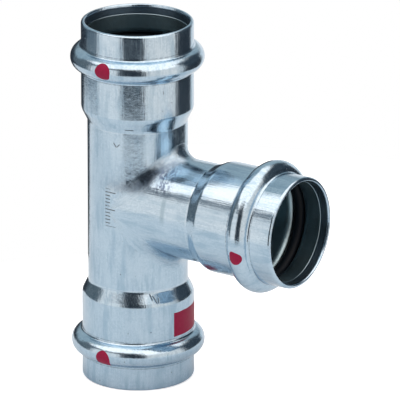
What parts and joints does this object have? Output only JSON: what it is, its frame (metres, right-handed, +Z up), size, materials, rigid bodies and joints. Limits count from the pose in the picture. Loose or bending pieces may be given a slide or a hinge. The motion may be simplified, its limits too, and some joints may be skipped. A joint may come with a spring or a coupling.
{
  "type": "press tee",
  "caption": "Equal press tee for metal pipe: a drawn steel tube body with beaded press sockets, a rubber seal in each bead, and red paint marks.",
  "frame": {"origin": "centre of the lower mouth's rim, on the run's axis, so the tee stands on z = 0", "axes": "+Z up along the run's axis, towards the upper socket; +X along the branch, out of its mouth; the paint dots face -Y"},
  "size_m": [0.073, 0.0375, 0.104],
  "materials": {
    "zinc_steel": "bright zinc plating on drawn steel tube",
    "seal_rubber": "smooth matte black",
    "red_paint": "thin semi-gloss paint"
  },
  "bodies": {
    "root": {"tee_body": "zinc_steel", "seal_bottom": "seal_rubber", "seal_top": "seal_rubber", "seal_branch": "seal_rubber", "paint_dot_bottom": "red_paint", "paint_dot_top": "red_paint", "paint_dot_branch": "red_paint", "paint_field": "red_paint"}
  },
  "joints": []
}
